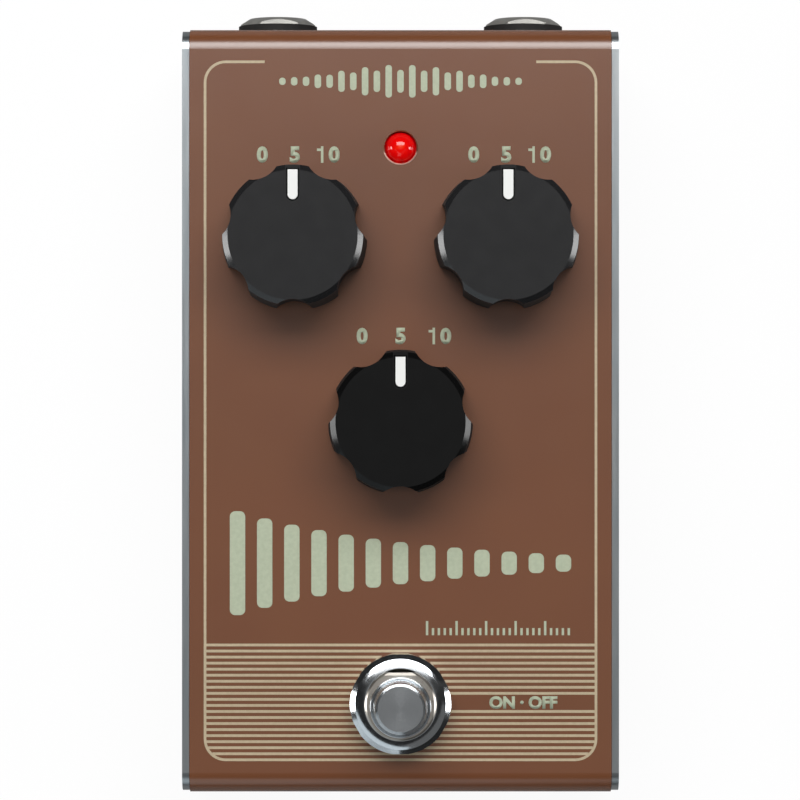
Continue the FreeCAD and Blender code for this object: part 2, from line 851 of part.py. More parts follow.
def jack_body(x):
    y1 = rear_inner - jack_wall_gap
    seat_y = y1 - jack_bushing_inside
    half_x = jack_body_width / 2
    half_z = jack_body_height / 2
    body = block(x - half_x, x + half_x, jack_back, y1, jack_axis_z - half_z, jack_axis_z + half_z)
    body = rounded(body, moulding_radius, along_y)
    inside_x = half_x - jack_body_wall
    inside_z = half_z - jack_body_wall
    roof = jack_axis_z + inside_z
    body = body.cut(block(x - inside_x, x + inside_x, jack_back + jack_body_wall, seat_y,
                          jack_axis_z - inside_z, roof))
    tail_y = jack_back + jack_body_wall + contact_end_gap + contact_thickness / 2
    slot_x = contact_width + 2 * hole_clearance
    slot_y = contact_thickness + 2 * hole_clearance
    body = body.cut(square(x, tail_y, slot_x, slot_y, roof - past_surface, board_bottom))
    return drilled_y(body, x, jack_axis_z, seat_y, y1, jack_bushing_radius + jack_bushing_seat)


def jack_bushing(x):
    y0 = rear_inner - jack_wall_gap - jack_bushing_inside
    y1 = rear + jack_reach
    sleeve = rod_y(x, jack_axis_z, y0, y1, jack_bushing_radius)
    sleeve = drilled_y(sleeve, x, jack_axis_z, y0, y1, jack_bore_radius)
    mouth = [edge for edge in sleeve.Edges if edge.BoundBox.YMin > y1 - same_level]
    return sleeve.makeChamfer(jack_bushing_chamfer, mouth)


def jack_contacts(x):
    # two bent leaf springs as a plug holds them: the tip contact above, with a tail up to the board,
    # and the sleeve contact below
    half = contact_width / 2
    t = contact_thickness
    roof = jack_axis_z + jack_body_height / 2 - jack_body_wall
    floor = jack_axis_z - jack_body_height / 2 + jack_body_wall
    tip_y = jack_back + jack_body_wall + contact_end_gap
    tip_low = jack_axis_z + jack_bore_radius
    tip = block(x - half, x + half, tip_y, tip_y + 2 * tip_contact_length, roof - t, roof)
    tip = tip.fuse(block(x - half, x + half, tip_y, tip_y + t, tip_low, board_bottom))
    tip = tip.fuse(block(x - half, x + half, tip_y, tip_y + tip_contact_length, tip_low, tip_low + t))
    sleeve_end = rear_inner - jack_wall_gap - jack_bushing_inside - contact_end_gap
    sleeve_y = sleeve_end - sleeve_contact_length
    sleeve_high = jack_axis_z - jack_bore_radius
    sleeve = block(x - half, x + half, sleeve_y, sleeve_end, floor, floor + t)
    sleeve = sleeve.fuse(block(x - half, x + half, sleeve_y, sleeve_y + t, floor, sleeve_high))
    sleeve = sleeve.fuse(block(x - half, x + half, sleeve_y, sleeve_y + sleeve_contact_length / 2,
                               sleeve_high - t, sleeve_high))
    return Part.makeCompound([tip, sleeve])


def jack_washers():
    outside = rear + jack_washer_thickness
    washers = []
    for x in jack_centres.values():
        washer = rod_y(x, jack_axis_z, rear, outside, jack_washer_radius)
        washers.append(drilled_y(washer, x, jack_axis_z, rear, outside, jack_bushing_radius + hole_clearance))
    return Part.makeCompound(washers)


def jack_nuts():
    shoulder = jack_nut_height - jack_nut_chamfer
    crown = turned([(0, 0), (jack_nut_corner_radius, 0), (jack_nut_corner_radius, shoulder),
                    (jack_nut_face_radius, jack_nut_height), (0, jack_nut_height)], 0, 0)
    blank = crown.common(hex_prism(0, 0, 0, jack_nut_height, jack_nut_across_flats, jack_nut_turn))
    blank = drilled(blank, 0, 0, 0, jack_nut_height, jack_bushing_radius + thread_clearance)
    blank.rotate(Vector(0, 0, 0), along_x, -90)
    nuts = []
    for x in jack_centres.values():
        nut = blank.copy()
        nut.translate(Vector(x, rear + jack_washer_thickness, jack_axis_z))
        nuts.append(nut)
    return Part.makeCompound(nuts)


# Direct-current socket

def dc_socket_body():
    half = dc_body_width / 2
    y1 = rear_inner - jack_wall_gap
    body = block(-half, half, dc_back, y1, jack_axis_z - dc_body_height / 2, board_bottom - jack_board_gap)
    body = rounded(body, moulding_radius, along_y)
    body = body.fuse(rod_y(0, jack_axis_z, y1, dc_front, dc_nose_radius))
    body = body.cut(rod_y(0, jack_axis_z, dc_bore_end, dc_front + past_surface, dc_bore_radius))
    return drilled_y(body, 0, jack_axis_z, dc_back, dc_bore_end, dc_pin_root_radius + dc_pin_seat)


def dc_socket_pin():
    shoulder = dc_bore_end + dc_pin_length
    root = rod_y(0, jack_axis_z, dc_back, dc_bore_end, dc_pin_root_radius)
    pin = rod_y(0, jack_axis_z, dc_bore_end, shoulder, dc_pin_radius)
    tip = Part.makeCone(dc_pin_radius, dc_pin_radius - dc_pin_tip, dc_pin_tip,
                        Vector(0, shoulder, jack_axis_z), along_y)
    return root.multiFuse([pin, tip])


def dc_socket_contact():
    # a plate behind the body, with its top edge just under the board
    half = dc_body_width / 2 - dc_contact_margin
    y1 = dc_back - dc_contact_gap
    low = jack_axis_z + dc_pin_root_radius + dc_contact_margin
    return block(-half, half, y1 - dc_contact_thickness, y1, low, board_bottom - dc_contact_gap)


# Main board and its components

def resistor_places():
    x = board_half_width - resistor_from_edge - resistor_span / 2
    first_y = pair_y - pot_half_length - resistor_from_pot
    return [(side * x, first_y - step * resistor_pitch) for side in (-1, 1) for step in range(resistor_rows)]


def resistor_wire_places():
    half = resistor_span / 2
    return [(x + side * half, y) for x, y in resistor_places() for side in (-1, 1)]


def regulator_leg_places():
    return [(step * regulator_leg_pitch, led_y - regulator_from_led) for step in (-1, 0, 1)]


def main_board():
    board = block(-board_half_width, board_half_width, board_front, board_rear, board_bottom, board_top)
    board = rounded(board, board_corner_radius, along_z)
    for places, radius in ((pot_pin_places(), pot_pin_radius), (led_leg_places(), led_leg_radius),
                           (resistor_wire_places(), wire_radius), (regulator_leg_places(), wire_radius)):
        for x, y in places:
            board = drilled(board, x, y, board_bottom, board_top, radius + hole_clearance)
    return board


def chip(x, y, pins):
    # a dual-in-line chip standing on the board, its long side along X
    per_side = pins // 2
    low = board_top + chip_standoff
    high = low + chip_height
    length = per_side * chip_pin_pitch
    body = square(x, y, length, chip_width, low, high)
    body = body.cut(rod(x - length / 2, y, high - chip_notch_depth, high + past_surface, chip_notch_radius))
    leg_top = (low + high) / 2
    outer = chip_width / 2 + chip_leg_reach
    legs = []
    for step in range(per_side):
        leg_x = x + (step - (per_side - 1) / 2) * chip_pin_pitch
        for side in (-1, 1):
            inner_y = y + side * (chip_width / 2 - chip_leg_root)
            outer_y = y + side * outer
            bend_y = outer_y - side * chip_leg_thickness
            middle_y = (bend_y + outer_y) / 2
            shoulder = square(leg_x, (inner_y + outer_y) / 2, chip_leg_width, abs(outer_y - inner_y),
                              leg_top - chip_leg_thickness, leg_top)
            drop = square(leg_x, middle_y, chip_leg_width, chip_leg_thickness, board_top, leg_top)
            legs.append(shoulder.fuse(drop))
    return body.multiFuse(legs)


def delay_chips():
    beside = (small_chip_pin_count / 2 * chip_pin_pitch + chip_gap) / 2
    return Part.makeCompound([chip(side * beside, pair_y, small_chip_pin_count) for side in (-1, 1)])


def support_chips():
    x = knob_pair_spacing / 2
    near_y = single_y + front_chip_past_pot - chip_row_spacing
    chips = [chip(0, pair_y - chip_row_spacing, large_chip_pin_count)]
    for side in (-1, 1):
        chips.append(chip(side * x, near_y, small_chip_pin_count))
        chips.append(chip(side * x, near_y - chip_row_spacing, small_chip_pin_count))
    return Part.makeCompound(chips)


def electrolytic_capacitors():
    # cans that hang under the board in a row behind the battery, beside its leads
    r = electrolytic_radius
    crimp = board_bottom - electrolytic_crimp_height
    low = board_bottom - electrolytic_height
    cans = []
    for step in range(electrolytic_count):
        x = lead_x - lead_radius - electrolytic_from_leads - r - step * electrolytic_pitch
        cans.append(turned([(0, low), (r - electrolytic_edge, low), (r, low + electrolytic_edge),
                            (r, crimp - electrolytic_edge), (r - electrolytic_crimp, crimp),
                            (r, crimp + electrolytic_edge), (r, board_bottom), (0, board_bottom)],
                           x, electrolytic_y))
    return Part.makeCompound(cans)


def film_capacitors():
    # boxes in two columns, left and right of the status light
    x = knob_pair_spacing / 2 - film_from_pot
    first_y = led_y - (film_rows - 1) / 2 * film_pitch
    boxes = []
    for side in (-1, 1):
        for step in range(film_rows):
            body = square(side * x, first_y + step * film_pitch, film_length, film_width,
                          board_top, board_top + film_height)
            boxes.append(body.makeFillet(film_edge_radius, body.Edges))
    return Part.makeCompound(boxes)


def resistors():
    half = resistor_length / 2
    bulb = half - resistor_cap_length
    waist = bulb - resistor_cap_slope
    r = resistor_radius
    z = board_top + resistor_radius + resistor_lift
    blank = turned([(0, -half), (r, -half), (r, -bulb), (resistor_waist_radius, -waist),
                    (resistor_waist_radius, waist), (r, bulb), (r, half), (0, half)], 0, 0)
    blank.rotate(Vector(0, 0, 0), along_y, 90)
    pieces = []
    for x, y in resistor_places():
        left = x - resistor_span / 2
        right = x + resistor_span / 2
        body = blank.copy()
        body.translate(Vector(x, y, z))
        route = [Vector(left, y, pin_end), Vector(left, y, z), Vector(right, y, z), Vector(right, y, pin_end)]
        pieces.append(body.fuse(wire_along(route, wire_radius, wire_bend)))
    return Part.makeCompound(pieces)


def voltage_regulator():
    y = led_y - regulator_from_led
    low = board_top + regulator_lift
    high = low + regulator_height
    body = rod(0, y, low, high, regulator_radius)
    wide = 2 * regulator_radius
    body = body.cut(block(-wide, wide, y + regulator_flat, y + wide, low - past_surface, high + past_surface))
    return body.multiFuse([rod(x, leg_y, pin_end, low, wire_radius) for x, leg_y in regulator_leg_places()])


def trimmer_body(x):
    low = board_bottom - trimmer_height
    body = square(x, trimmer_y, trimmer_side, trimmer_side, low, board_bottom)
    body = rounded(body, trimmer_edge_radius, along_z)
    return body.cut(rod(x, trimmer_y, low - past_surface, low + trimmer_well_depth,
                        trimmer_rotor_radius + trimmer_rotor_clearance))


def trimmer_rotor(x):
    body_bottom = board_bottom - trimmer_height
    low = body_bottom - trimmer_rotor_proud
    high = body_bottom + trimmer_well_depth - trimmer_rotor_clearance
    rotor = rod(x, trimmer_y, low, high, trimmer_rotor_radius)
    return rotor.cut(square(x, trimmer_y, trimmer_slot_width, trimmer_slot_length,
                            low - past_surface, low + trimmer_slot_depth))


# Battery

def battery():
    case = block(battery_left, battery_right, battery_front, battery_rear, battery_bottom, battery_top)
    return rounded(case, battery_edge_radius, along_x)


def battery_terminals():
    stud_y = battery_middle_y - terminal_spacing / 2
    cup_y = battery_middle_y + terminal_spacing / 2
    stud = rod_x(stud_y, terminal_z, battery_right, snap_left, terminal_stud_radius)
    cup = rod_x(cup_y, terminal_z, battery_right, snap_left, terminal_cup_radius)
    cup = cup.cut(rod_x(cup_y, terminal_z, battery_right + terminal_cup_wall, snap_left + past_surface,
                        terminal_cup_radius - terminal_cup_wall))
    return Part.makeCompound([stud, cup])


def battery_snap():
    half_y = snap_width / 2
    half_z = snap_height / 2
    snap = block(snap_left, snap_right, battery_middle_y - half_y, battery_middle_y + half_y,
                 terminal_z - half_z, terminal_z + half_z)
    return rounded(snap, moulding_radius, along_x)


def battery_leads():
    start_y = battery_middle_y + snap_width / 2
    leads = []
    for step in (-0.5, 0.5):
        z = terminal_z + step * lead_spacing
        corner_y = start_y + lead_run - step * lead_spacing
        route = [Vector(lead_x, start_y, z), Vector(lead_x, corner_y, z)]
        route.append(Vector(lead_x, corner_y, board_bottom))
        leads.append(wire_along(route, lead_radius, lead_bend))
    return Part.makeCompound(leads)


def battery_pad():
    return block(battery_left + pad_margin, battery_right - pad_margin,
                 battery_front + pad_margin, battery_rear - pad_margin, base_top, battery_bottom)


nodes = {
    "top_cover": top_cover(),
    "base_tray": base_tray(),
    "base_screws": base_screws(),
    "clinch_nuts": clinch_nuts(),
    "rubber_feet": rubber_feet(),
    "pot_wafers": pot_wafers(),
    "pot_washers": pot_washers(),
    "pot_nuts": pot_nuts(),
    "status_led": status_led(),
    "led_spacer": led_spacer(),
    "footswitch_body": footswitch_body(),
    "footswitch_bushing": footswitch_bushing(),
    "footswitch_plunger": footswitch_plunger(),
    "footswitch_spring": footswitch_spring(),
    "footswitch_lower_nut": footswitch_lower_nut(),
    "footswitch_lock_washer": footswitch_lock_washer(),
    "footswitch_dress_nut": footswitch_dress_nut(),
    "footswitch_lugs": footswitch_lugs(),
    "switch_board": switch_board(),
    "ribbon_cable": ribbon_cable(),
    "jack_washers": jack_washers(),
    "jack_nuts": jack_nuts(),
    "dc_socket_body": dc_socket_body(),
    "dc_socket_pin": dc_socket_pin(),
    "dc_socket_contact": dc_socket_contact(),
    "main_board": main_board(),
    "delay_chips": delay_chips(),
    "support_chips": support_chips(),
    "electrolytic_capacitors": electrolytic_capacitors(),
    "film_capacitors": film_capacitors(),
    "resistors": resistors(),
    "voltage_regulator": voltage_regulator(),
    "battery": battery(),
    "battery_terminals": battery_terminals(),
    "battery_snap": battery_snap(),
    "battery_leads": battery_leads(),
    "battery_pad": battery_pad(),
}
for name, (x, y) in pot_centres.items():
    nodes[name + "_knob"] = knob(x, y)
    nodes[name + "_pointer"] = pointer(x, y)
    nodes[name + "_shaft"] = pot_shaft(x, y)
    nodes[name + "_pot_body"] = pot_body(x, y)
for name, x in jack_centres.items():
    nodes[name + "_jack_body"] = jack_body(x)
    nodes[name + "_jack_bushing"] = jack_bushing(x)
    nodes[name + "_jack_contacts"] = jack_contacts(x)
trimmer_centres = {"bias": -trimmer_spacing / 2, "clock": trimmer_spacing / 2}
for name, x in trimmer_centres.items():
    nodes[name + "_trimmer_body"] = trimmer_body(x)
    nodes[name + "_trimmer_rotor"] = trimmer_rotor(x)

os.makedirs("parts", exist_ok=True)
for name, shape in nodes.items():
    shape.exportStep("parts/" + name + ".step")
print(len(nodes), "nodes")
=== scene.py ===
import bpy
import bmesh
import math
from mathutils import Matrix, Vector


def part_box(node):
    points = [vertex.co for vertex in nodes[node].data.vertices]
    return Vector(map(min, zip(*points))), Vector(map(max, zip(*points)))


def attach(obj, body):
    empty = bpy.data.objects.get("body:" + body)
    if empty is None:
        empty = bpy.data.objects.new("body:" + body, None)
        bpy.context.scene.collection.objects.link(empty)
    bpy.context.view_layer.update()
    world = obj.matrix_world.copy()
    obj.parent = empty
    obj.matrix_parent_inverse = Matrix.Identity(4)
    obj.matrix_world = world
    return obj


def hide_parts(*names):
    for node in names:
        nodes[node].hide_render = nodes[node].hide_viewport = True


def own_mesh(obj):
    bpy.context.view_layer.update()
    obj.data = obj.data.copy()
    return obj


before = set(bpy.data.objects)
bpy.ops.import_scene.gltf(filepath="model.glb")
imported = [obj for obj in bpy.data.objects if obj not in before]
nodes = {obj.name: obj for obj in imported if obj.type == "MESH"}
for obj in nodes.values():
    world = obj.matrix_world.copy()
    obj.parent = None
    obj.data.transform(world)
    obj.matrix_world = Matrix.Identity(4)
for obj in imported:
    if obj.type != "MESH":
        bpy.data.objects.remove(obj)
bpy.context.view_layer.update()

# one millimetre in metres, and the distance below which two points are one
mm = 0.001
weldDistance = 0.000001

# Places on the face, in millimetres in the part's frame
faceTop = 35.0
faceMiddleY = -1.6
dialPlaces = {"time": (-17.9, 27.6), "mix": (17.9, 27.6), "repeats": (0.0, -3.5)}
ledPlace = (0.0, 43.0)
switchPlace = (0.0, -51.0)


# Node and material helpers

# the parts of a noise's range that are spread over a change of colour or of roughness
colourSpan = (0.35, 0.65)
roughnessSpan = (0.3, 0.7)


def linearColour(hexText):
    # a screen colour such as "a1b2c3" as linear red, green, blue and alpha
    values = [int(hexText[place:place + 2], 16) / 255 for place in (0, 2, 4)]
    return [v / 12.92 if v <= 0.04045 else ((v + 0.055) / 1.055) ** 2.4 for v in values] + [1.0]


def addNode(tree, kind, settings=None, links=None):
    node = tree.nodes.new(kind)
    for name, value in (settings or {}).items():
        if isinstance(name, int) or name in node.inputs:
            node.inputs[name].default_value = value
        else:
            setattr(node, name, value)
    for name, socket in (links or {}).items():
        tree.links.new(socket, node.inputs[name])
    return node


def newMaterial(name, colour, roughness, **others):
    material = bpy.data.materials.new(name)
    material.use_nodes = True
    shader = material.node_tree.nodes["Principled BSDF"]
    shader.inputs["Base Color"].default_value = linearColour(colour)
    shader.inputs["Roughness"].default_value = roughness
    for socket, value in others.items():
        shader.inputs[socket.replace("_", " ")].default_value = value
    return material


def feed(material, socket, output):
    # links a node's output to a socket of the material's shader
    shader = material.node_tree.nodes["Principled BSDF"]
    material.node_tree.links.new(output, shader.inputs[socket])


def millimetres(tree, stretch=(1, 1, 1), middle=(0, 0, 0)):
    # object coordinates in millimetres from a middle, stretched along each axis
    coordinates = addNode(tree, "ShaderNodeTexCoord")
    scale = [value / mm for value in stretch]
    shift = [-place * value for place, value in zip(middle, stretch)]
    return addNode(tree, "ShaderNodeMapping", {"Scale": scale, "Location": shift},
                   {"Vector": coordinates.outputs["Object"]}).outputs["Vector"]


def clouds(tree, size, stretch=(1, 1, 1), detail=2.0):
    # a noise between 0 and 1 whose patches are about size millimetres across
    noise = addNode(tree, "ShaderNodeTexNoise", {"Scale": 1 / size, "Detail": detail},
                    {"Vector": millimetres(tree, stretch)})
    return noise.outputs["Fac"]


def addRelief(material, *layers):
    # each layer is a height between 0 and 1 and its depth in millimetres
    tree = material.node_tree
    normal = None
    for height, depth in layers:
        bump = addNode(tree, "ShaderNodeBump", {"Distance": depth * mm}, {"Height": height})
        if normal:
            tree.links.new(normal, bump.inputs["Normal"])
        normal = bump.outputs["Normal"]
    feed(material, "Normal", normal)


def varyRoughness(material, height, low, high):
    # the middle of a noise spread over a span of roughness, which is also returned
    spread = addNode(material.node_tree, "ShaderNodeMapRange", {
        "From Min": roughnessSpan[0], "From Max": roughnessSpan[1], "To Min": low, "To Max": high},
        {"Value": height})
    feed(material, "Roughness", spread.outputs["Result"])
    return spread.outputs["Result"]


def varyColour(material, height, first, second):
    # two shades of the material, mixed by the middle of a noise
    ramp = addNode(material.node_tree, "ShaderNodeValToRGB", {}, {"Fac": height})
    for stop, place, colour in zip(ramp.color_ramp.elements, colourSpan, (first, second)):
        stop.position = place
        stop.color = linearColour(colour)
    feed(material, "Base Color", ramp.outputs["Color"])


def dress(material, *names):
    # gives a material to all of the CAD nodes named
    for name in names:
        for slot in nodes[name].material_slots:
            slot.material = material


# Materials

# polyester powder paint, brown, baked on steel: a smooth satin film with the faint waviness of such paint
coverPaint = newMaterial("baked_brown_powder_paint", "6e4125", 0.255, Specular_IOR_Level=0.95)
paintTree = coverPaint.node_tree
varyColour(coverPaint, clouds(paintTree, 16.0, detail=1.0), "6d4025", "6f4226")
varyRoughness(coverPaint, clouds(paintTree, 5.0), 0.25, 0.265)
addRelief(coverPaint, (clouds(paintTree, 1.3), 0.001))
dress(coverPaint, "top_cover")

# cold-rolled steel sheet left bare: a cool grey with fine streaks along the rolling direction
bareSheet = newMaterial("bare_rolled_steel", "acb2b5", 0.31, Metallic=1.0)
sheetTree = bareSheet.node_tree
varyColour(bareSheet, clouds(sheetTree, 4.0, (1, 0.2, 1), 3.0), "a7aeb2", "b1b5b7")
varyRoughness(bareSheet, clouds(sheetTree, 0.5, (1, 0.04, 1), 4.0), 0.28, 0.34)
addRelief(bareSheet, (clouds(sheetTree, 0.25, (1, 0.03, 1), 3.0), 0.0015))
dress(bareSheet, "base_tray")

# steel with zinc plate, clear passivated: bright, with a trace of blue and straw
zincPlate = newMaterial("clear_passivated_zinc", "c9cbcd", 0.3, Metallic=1.0)
zincTree = zincPlate.node_tree
varyColour(zincPlate, clouds(zincTree, 1.5), "c3cad2", "cfcabc")
varyRoughness(zincPlate, clouds(zincTree, 0.8, detail=3.0), 0.24, 0.36)
dress(zincPlate, "base_screws", "clinch_nuts", "battery_terminals")

# nitrile rubber, moulded matt: dusty black with a fine grain
footRubber = newMaterial("moulded_nitrile_rubber", "1c1c1c", 0.8)
rubberTree = footRubber.node_tree
varyColour(footRubber, clouds(rubberTree, 1.2, detail=4.0), "181818", "242322")
addRelief(footRubber, (clouds(rubberTree, 0.3), 0.02))
dress(footRubber, "rubber_feet")

# brass with satin nickel plate: warm grey, a soft gloss
nickelPlate = newMaterial("satin_nickel_plate", "cbc5bc", 0.3, Metallic=1.0)
nickelTree = nickelPlate.node_tree
varyRoughness(nickelPlate, clouds(nickelTree, 1.0, detail=3.0), 0.27, 0.32)
dress(nickelPlate, "pot_washers", "pot_nuts", "footswitch_bushing", "footswitch_lower_nut",
      "footswitch_lock_washer", "input_jack_bushing", "output_jack_bushing")

# the jacks' nuts, nickel over brass as stamped: greyer, with a cloudy gloss
stampedNickel = newMaterial("nickel_plate_on_stamped_nuts", "bcbab4", 0.3, Metallic=1.0)
stampedTree = stampedNickel.node_tree
varyColour(stampedNickel, clouds(stampedTree, 1.2, detail=3.0), "b6b4af", "c1c0ba")
varyRoughness(stampedNickel, clouds(stampedTree, 2.0), 0.27, 0.33)
dress(stampedNickel, "jack_nuts")

# brass turned, polished and chrome plated: a clear mirror, faintly blue
brightChrome = newMaterial("polished_chrome_plate", "d6dadd", 0.14, Metallic=1.0)
varyRoughness(brightChrome, clouds(brightChrome.node_tree, 1.0, detail=4.0), 0.11, 0.17)
dress(brightChrome, "footswitch_dress_nut")

# the same chrome over a faced end, whose lathe rings draw rays across it; they are drawn twice as coarse as real,
# and a little deeper on the sloped edge; a ring texture repeats each 0.314 divided by its scale
turnedChrome = newMaterial("chrome_plate_on_turned_end", "d2d6d9", 0.16, Metallic=1.0)
lathe = {"pitch": 0.16, "repeat": 0.314, "wobble": 0.4, "depth": 0.008, "edge": 3.78, "edgeDepth": 0.004}
endTree = turnedChrome.node_tree
endPlace = millimetres(endTree, (1, 1, 0), (*switchPlace, 0))
rings = addNode(endTree, "ShaderNodeTexWave", {
    "wave_type": "RINGS", "rings_direction": "Z", "Scale": lathe["repeat"] / lathe["pitch"],
    "Distortion": lathe["wobble"], "Detail": 1.0}, {"Vector": endPlace})
fromSwitch = addNode(endTree, "ShaderNodeVectorMath", {"operation": "LENGTH"}, {0: endPlace})
onEdge = addNode(endTree, "ShaderNodeMath", {"operation": "GREATER_THAN", 1: lathe["edge"]},
                 {0: fromSwitch.outputs["Value"]})
edgeRings = addNode(endTree, "ShaderNodeMath", {"operation": "MULTIPLY"},
                    {0: rings.outputs["Fac"], 1: onEdge.outputs["Value"]})
addRelief(turnedChrome, (rings.outputs["Fac"], lathe["depth"]), (edgeRings.outputs["Value"], lathe["edgeDepth"]))
dress(turnedChrome, "footswitch_plunger")


def knobMaterial(name, shade, gloss, place):
    # moulded thermoset: a black, finely ground top and bevel; the sides, below a level, and a line round the pointer
    # are dull, and painted near-black as painted shade on the sides and a painted shadow round the pointer
    material = newMaterial(name, shade, 0.19, Specular_IOR_Level=gloss)
    tree = material.node_tree
    # painted shade: the level below which the sides are painted near-black, and the reach of the painted shadow
    # round the pointer
    paintedShade = {"level": 47.65, "shade": "020202", "roughness": 0.8, "pointerEnd": 6.7, "lineReach": 1.24}
    parts = addNode(tree, "ShaderNodeSeparateXYZ", {}, {0: millimetres(tree, middle=(*place, 0))})
    shadedSides = addNode(tree, "ShaderNodeMath", {"operation": "LESS_THAN", 1: paintedShade["level"]}, {0: parts.outputs["Z"]})
    past = addNode(tree, "ShaderNodeMath", {"operation": "SUBTRACT", 1: paintedShade["pointerEnd"]},
                   {0: parts.outputs["Y"]})
    inward = addNode(tree, "ShaderNodeMath", {"operation": "MINIMUM", 1: 0.0}, {0: past.outputs["Value"]})
    offset = addNode(tree, "ShaderNodeCombineXYZ", {}, {"X": parts.outputs["X"], "Y": inward.outputs["Value"]})
    away = addNode(tree, "ShaderNodeVectorMath", {"operation": "LENGTH"}, {0: offset.outputs["Vector"]})
    line = addNode(tree, "ShaderNodeMath", {"operation": "LESS_THAN", 1: paintedShade["lineReach"]},
                   {0: away.outputs["Value"]})
    paintedShadeMask = addNode(tree, "ShaderNodeMath", {"operation": "MAXIMUM"},
                   {0: shadedSides.outputs["Value"], 1: line.outputs["Value"]})
    mixed = addNode(tree, "ShaderNodeMix", {
        "data_type": "RGBA", 6: linearColour(shade), 7: linearColour(paintedShade["shade"])}, {0: paintedShadeMask.outputs["Value"]})
    feed(material, "Base Color", mixed.outputs[2])
    fine = varyRoughness(material, clouds(tree, 3.0), 0.18, 0.21)
    rough = addNode(tree, "ShaderNodeMath", {"operation": "MULTIPLY", 1: paintedShade["roughness"]},
                    {0: paintedShadeMask.outputs["Value"]})
    either = addNode(tree, "ShaderNodeMath", {"operation": "MAXIMUM"}, {0: fine, 1: rough.outputs["Value"]})
    feed(material, "Roughness", either.outputs["Value"])
    addRelief(material, (clouds(tree, 0.5), 0.0004))
    return material


# the black and the gloss of each knob's top; the repeats knob's darker black is painted shade on a copy of the same
# plastic
knobLooks = {"time": ("1c1c1d", 0.62), "mix": ("1c1c1d", 0.62), "repeats": ("0a0a0a", 0.3)}
for name, (shade, gloss) in knobLooks.items():
    dress(knobMaterial(name + "_knob_thermoset", shade, gloss, dialPlaces[name]), name + "_knob")

# moulded white plastic, smooth, a trace warm
pointerPlastic = newMaterial("moulded_white_plastic", "eaeae7", 0.35)
varyRoughness(pointerPlastic, clouds(pointerPlastic.node_tree, 0.8, detail=3.0), 0.3, 0.4)
dress(pointerPlastic, "time_pointer", "mix_pointer", "repeats_pointer")

# turned aluminium: pale grey, with fine rings round the shaft
turnedAluminium = newMaterial("turned_aluminium", "d0d0d0", 0.3, Metallic=1.0)
aluminiumTree = turnedAluminium.node_tree
addRelief(turnedAluminium, (clouds(aluminiumTree, 0.15, (0.2, 0.2, 1)), 0.003))
dress(turnedAluminium, "time_shaft", "mix_shaft", "repeats_shaft")

# red tinted epoxy over a lit chip: brightest over the chip, deep red at the rim
redLens = newMaterial("red_tinted_epoxy", "a00004", 0.07, Emission_Strength=0.55, Specular_IOR_Level=0.6)
lensTree = redLens.node_tree
lens = {"radius": 2.7, "swirl": 0.9, "wander": 1.6, "middle": "ff4a10", "rim": "960004"}
lensPlace = millimetres(lensTree, (1, 1, 0), (*ledPlace, 0))
fromAxis = addNode(lensTree, "ShaderNodeVectorMath", {"operation": "LENGTH"}, {0: lensPlace})
swirl = addNode(lensTree, "ShaderNodeTexNoise", {"Scale": lens["swirl"], "Detail": 1.0}, {"Vector": lensPlace})
wander = addNode(lensTree, "ShaderNodeMath", {
    "operation": "MULTIPLY_ADD", 1: lens["wander"], 2: -lens["wander"] / 2}, {0: swirl.outputs["Fac"]})
glowPlace = addNode(lensTree, "ShaderNodeMath", {"operation": "ADD"},
                    {0: fromAxis.outputs["Value"], 1: wander.outputs["Value"]})
share = addNode(lensTree, "ShaderNodeMath", {"operation": "DIVIDE", 1: lens["radius"]},
                {0: glowPlace.outputs["Value"]})
glow = addNode(lensTree, "ShaderNodeValToRGB", {}, {"Fac": share.outputs["Value"]})
glow.color_ramp.elements[0].color = linearColour(lens["middle"])
glow.color_ramp.elements[1].color = linearColour(lens["rim"])
for position, colour in ((0.3, "f61204"), (0.75, "dc0206")):
    glow.color_ramp.elements.new(position).color = linearColour(colour)
feed(redLens, "Emission Color", glow.outputs["Color"])
dress(redLens, "status_led")

# natural nylon, moulded: milky, a soft gloss
plainNylon = newMaterial("natural_nylon", "e6e2d6", 0.5)
varyRoughness(plainNylon, clouds(plainNylon.node_tree, 0.8, detail=3.0), 0.42, 0.55)
dress(plainNylon, "led_spacer")

# paper laminate with phenol resin, punched: brown with short fibres
phenolLaminate = newMaterial("punched_phenol_laminate", "6b4526", 0.6)
phenolTree = phenolLaminate.node_tree
varyColour(phenolLaminate, clouds(phenolTree, 0.7, (1, 0.3, 1), 4.0), "5e3a1f", "7a5230")
dress(phenolLaminate, "pot_wafers")

# thermoset moulding, blue: dense, with faint flow marks
blueMoulding = newMaterial("blue_thermoset_moulding", "1f4f9e", 0.35)
blueTree = blueMoulding.node_tree
varyColour(blueMoulding, clouds(blueTree, 3.0, detail=4.0), "1b478f", "2355a6")
varyRoughness(blueMoulding, clouds(blueTree, 0.6, detail=3.0), 0.3, 0.42)
dress(blueMoulding, "footswitch_body", "bias_trimmer_body", "clock_trimmer_body")

# steel wire, drawn and coiled: fine lines along the wire
springWire = newMaterial("drawn_spring_wire", "9a9b9d", 0.25, Metallic=1.0)
varyRoughness(springWire, clouds(springWire.node_tree, 0.3, (0.2, 0.2, 1), 3.0), 0.18, 0.34)

# brass dipped in tin: pale straw, a little uneven
tinnedBrass = newMaterial("tinned_brass", "d9cfae", 0.28, Metallic=1.0)
tinTree = tinnedBrass.node_tree
varyColour(tinnedBrass, clouds(tinTree, 1.0, detail=3.0), "d9cfae", "d6d4c8")
varyRoughness(tinnedBrass, clouds(tinTree, 0.5, detail=3.0), 0.22, 0.36)
dress(tinnedBrass, "footswitch_lugs", "dc_socket_pin", "dc_socket_contact", "input_jack_contacts",
      "output_jack_contacts")

